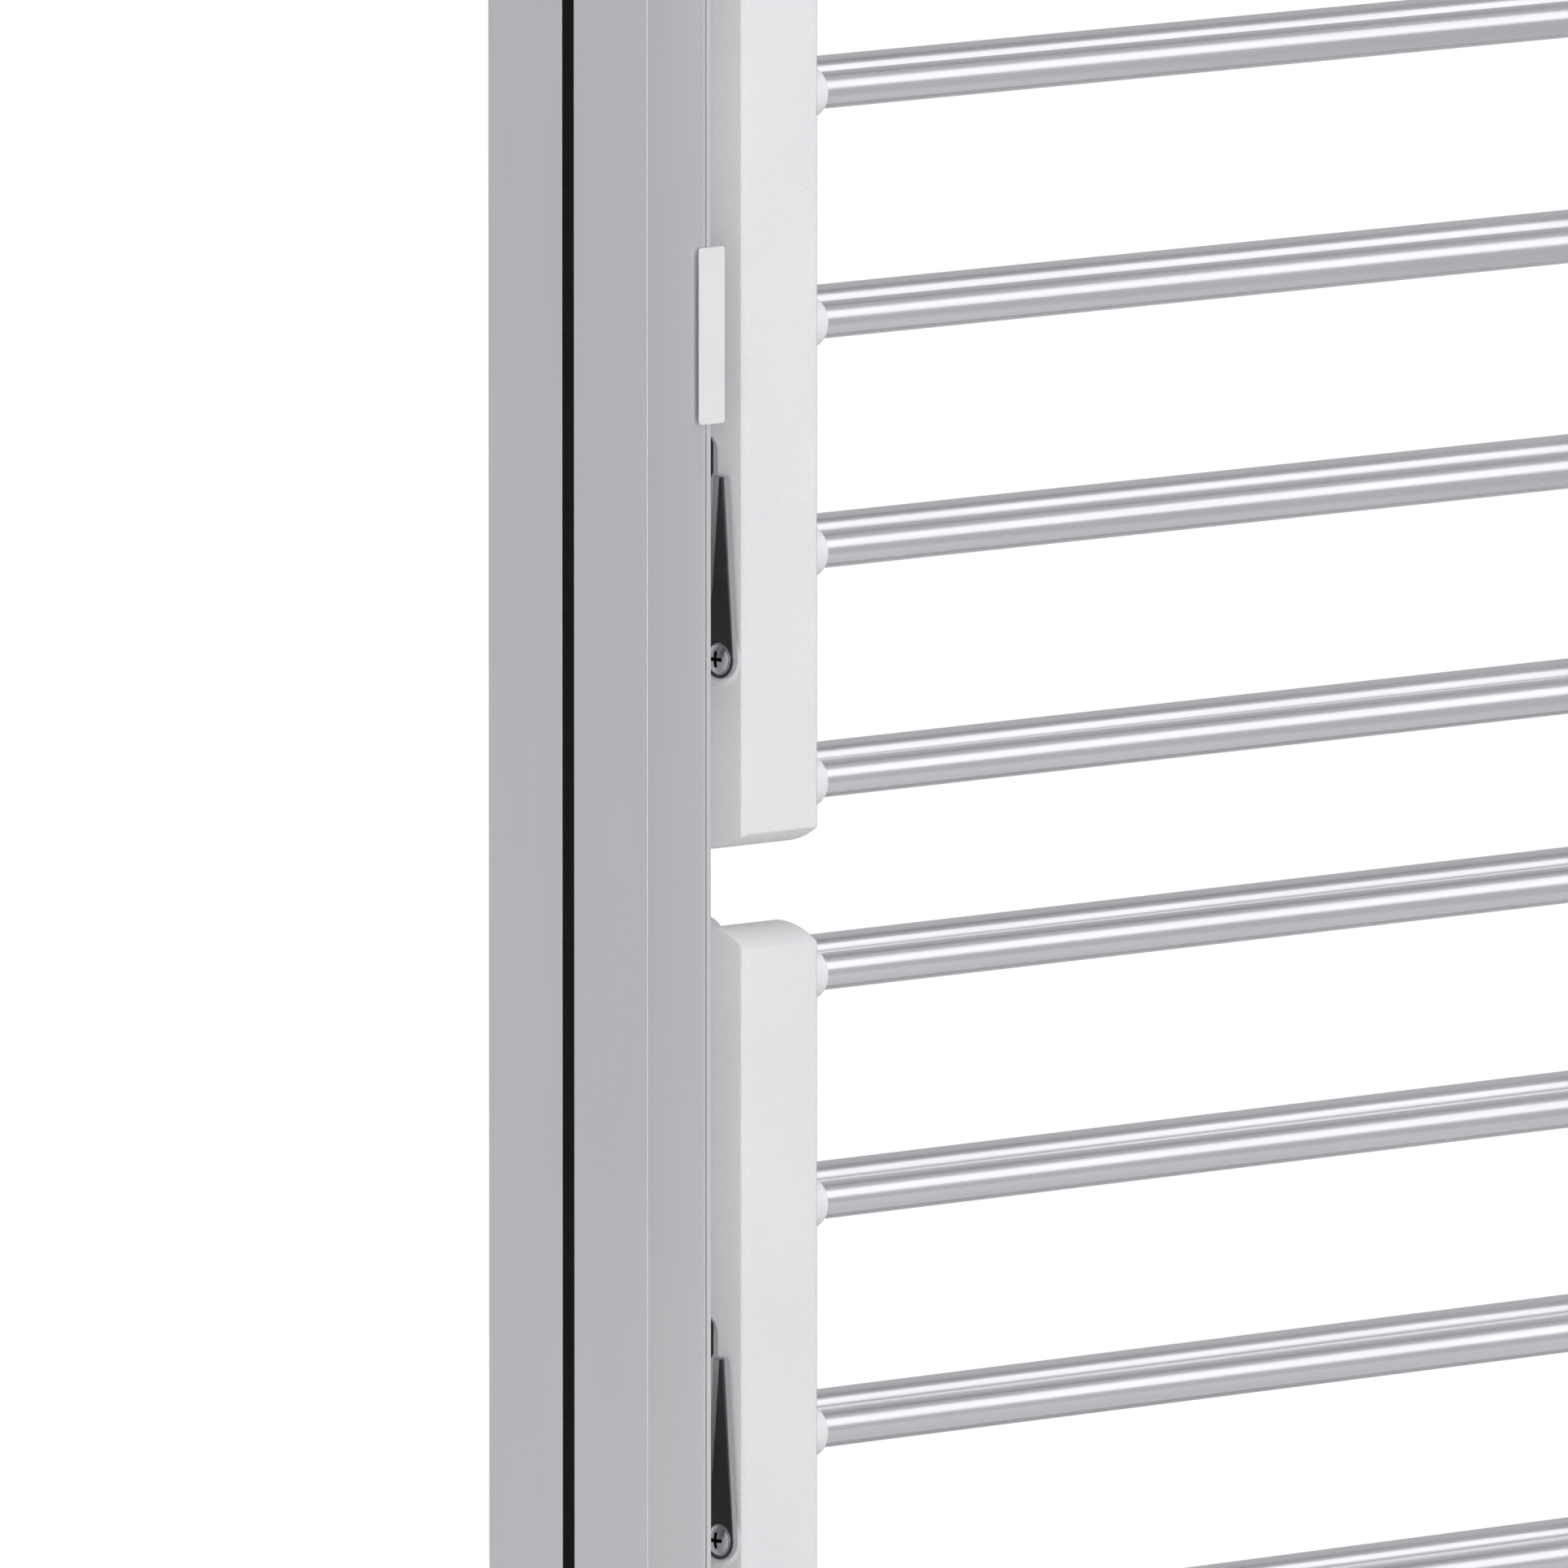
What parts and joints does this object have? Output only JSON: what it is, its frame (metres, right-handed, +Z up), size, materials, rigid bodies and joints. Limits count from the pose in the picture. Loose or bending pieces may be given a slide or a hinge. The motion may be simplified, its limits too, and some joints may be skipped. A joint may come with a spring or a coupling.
{
  "type": "louvre security bar unit",
  "caption": "Aluminium window frame holding two banks of tilting twin-tube security bars between white galleries, each bank worked by a black lever handle.",
  "frame": {"origin": "underside of the sill, at the middle of the frame's width and depth", "axes": "+X along the bars towards the right jamb as seen from the room, +Y through the window to the outside, +Z up"},
  "size_m": [0.8, 0.0902, 0.89],
  "materials": {
    "frame_aluminium": "satin anodised",
    "bar_aluminium": "satin anodised, brushed along the bar",
    "gallery_white": "fine pebbled texture",
    "hub_white": "smooth moulded",
    "clip_white": "smooth moulded",
    "lever_grey": "satin silver paint on a die casting",
    "lever_black": "semi-gloss",
    "washer_black": "plain",
    "screw_chrome": "polished",
    "screw_steel": "zinc plated",
    "drive_steel": "stainless, brushed",
    "seal_rubber": "matte black",
    "plug_black": "plain",
    "channel_aluminium": "mill finish"
  },
  "bodies": {
    "frame": {"jamb_left": "frame_aluminium", "jamb_right": "frame_aluminium", "sill": "frame_aluminium", "head": "frame_aluminium", "frame_seals": "seal_rubber", "jamb_plugs": "plug_black", "scoop_pads": "plug_black", "mounting_channel_left": "channel_aluminium", "mounting_channel_right": "channel_aluminium", "screen_clip_left": "clip_white", "screen_clip_right": "clip_white", "corner_screws": "screw_steel", "gallery_screws": "screw_steel", "gallery_front_left_lower": "gallery_white", "gallery_front_right_lower": "gallery_white", "gallery_back_left_lower": "gallery_white", "gallery_back_right_lower": "gallery_white", "gallery_front_left_upper": "gallery_white", "gallery_front_right_upper": "gallery_white", "gallery_back_left_upper": "gallery_white", "gallery_back_right_upper": "gallery_white"},
    "lower_lever": {"lever_arm_lower": "lever_grey", "lever_cover_lower": "lever_black", "lever_screw_lower": "screw_chrome", "lever_shaft_lower": "drive_steel", "lever_washer_lower": "washer_black"},
    "lower_link": {"link_bar_lower": "drive_steel"},
    "lower_bar_1": {"bar_lower_1": "bar_aluminium", "hub_drive_lower_1": "hub_white", "hub_idle_lower_1": "hub_white"},
    "lower_bar_2": {"bar_lower_2": "bar_aluminium", "hub_drive_lower_2": "hub_white", "hub_idle_lower_2": "hub_white"},
    "lower_bar_3": {"bar_lower_3": "bar_aluminium", "hub_drive_lower_3": "hub_white", "hub_idle_lower_3": "hub_white"},
    "lower_bar_4": {"bar_lower_4": "bar_aluminium", "hub_drive_lower_4": "hub_white", "hub_idle_lower_4": "hub_white"},
    "upper_lever": {"lever_arm_upper": "lever_grey", "lever_cover_upper": "lever_black", "lever_screw_upper": "screw_chrome", "lever_shaft_upper": "drive_steel", "lever_washer_upper": "washer_black"},
    "upper_link": {"link_bar_upper": "drive_steel"},
    "upper_bar_1": {"bar_upper_1": "bar_aluminium", "hub_drive_upper_1": "hub_white", "hub_idle_upper_1": "hub_white"},
    "upper_bar_2": {"bar_upper_2": "bar_aluminium", "hub_drive_upper_2": "hub_white", "hub_idle_upper_2": "hub_white"},
    "upper_bar_3": {"bar_upper_3": "bar_aluminium", "hub_drive_upper_3": "hub_white", "hub_idle_upper_3": "hub_white"},
    "upper_bar_4": {"bar_upper_4": "bar_aluminium", "hub_drive_upper_4": "hub_white", "hub_idle_upper_4": "hub_white"},
    "upper_bar_5": {"bar_upper_5": "bar_aluminium", "hub_drive_upper_5": "hub_white", "hub_idle_upper_5": "hub_white"}
  },
  "joints": [
    {"name": "lower_lever_turn", "type": "hinge", "parent": "frame", "child": "lower_lever", "pos_m": [-0.33, -0.0336, 0.123], "axis": [1, 0, 0], "range_deg": [0, 75]},
    {"name": "lower_link_turn", "type": "hinge", "parent": "lower_lever", "child": "lower_link", "pos_m": [-0.3154, -0.02948, 0.11983], "axis": [1, 0, 0], "range_deg": [-75, 0]},
    {"name": "lower_bar_1_turn", "type": "hinge", "parent": "frame", "child": "lower_bar_1", "pos_m": [0, -0.0336, 0.0704], "axis": [1, 0, 0], "range_deg": [0, 75]},
    {"name": "lower_bar_2_turn", "type": "hinge", "parent": "frame", "child": "lower_bar_2", "pos_m": [0, -0.0336, 0.1624], "axis": [1, 0, 0], "range_deg": [0, 75]},
    {"name": "lower_bar_3_turn", "type": "hinge", "parent": "frame", "child": "lower_bar_3", "pos_m": [0, -0.0336, 0.2544], "axis": [1, 0, 0], "range_deg": [0, 75]},
    {"name": "lower_bar_4_turn", "type": "hinge", "parent": "frame", "child": "lower_bar_4", "pos_m": [0, -0.0336, 0.3464], "axis": [1, 0, 0], "range_deg": [0, 75]},
    {"name": "upper_lever_turn", "type": "hinge", "parent": "frame", "child": "upper_lever", "pos_m": [-0.33, -0.0336, 0.4764], "axis": [1, 0, 0], "range_deg": [0, 75]},
    {"name": "upper_link_turn", "type": "hinge", "parent": "upper_lever", "child": "upper_link", "pos_m": [-0.3154, -0.02948, 0.47323], "axis": [1, 0, 0], "range_deg": [-75, 0]},
    {"name": "upper_bar_1_turn", "type": "hinge", "parent": "frame", "child": "upper_bar_1", "pos_m": [0, -0.0336, 0.4238], "axis": [1, 0, 0], "range_deg": [0, 75]},
    {"name": "upper_bar_2_turn", "type": "hinge", "parent": "frame", "child": "upper_bar_2", "pos_m": [0, -0.0336, 0.5158], "axis": [1, 0, 0], "range_deg": [0, 75]},
    {"name": "upper_bar_3_turn", "type": "hinge", "parent": "frame", "child": "upper_bar_3", "pos_m": [0, -0.0336, 0.6078], "axis": [1, 0, 0], "range_deg": [0, 75]},
    {"name": "upper_bar_4_turn", "type": "hinge", "parent": "frame", "child": "upper_bar_4", "pos_m": [0, -0.0336, 0.6998], "axis": [1, 0, 0], "range_deg": [0, 75]},
    {"name": "upper_bar_5_turn", "type": "hinge", "parent": "frame", "child": "upper_bar_5", "pos_m": [0, -0.0336, 0.7918], "axis": [1, 0, 0], "range_deg": [0, 75]}
  ],
  "couplings": [
    {"joint": "lower_link_turn", "follows": "lower_lever_turn", "ratio": -1},
    {"joint": "lower_bar_1_turn", "follows": "lower_lever_turn", "ratio": 1},
    {"joint": "lower_bar_2_turn", "follows": "lower_lever_turn", "ratio": 1},
    {"joint": "lower_bar_3_turn", "follows": "lower_lever_turn", "ratio": 1},
    {"joint": "lower_bar_4_turn", "follows": "lower_lever_turn", "ratio": 1},
    {"joint": "upper_link_turn", "follows": "upper_lever_turn", "ratio": -1},
    {"joint": "upper_bar_1_turn", "follows": "upper_lever_turn", "ratio": 1},
    {"joint": "upper_bar_2_turn", "follows": "upper_lever_turn", "ratio": 1},
    {"joint": "upper_bar_3_turn", "follows": "upper_lever_turn", "ratio": 1},
    {"joint": "upper_bar_4_turn", "follows": "upper_lever_turn", "ratio": 1},
    {"joint": "upper_bar_5_turn", "follows": "upper_lever_turn", "ratio": 1}
  ]
}
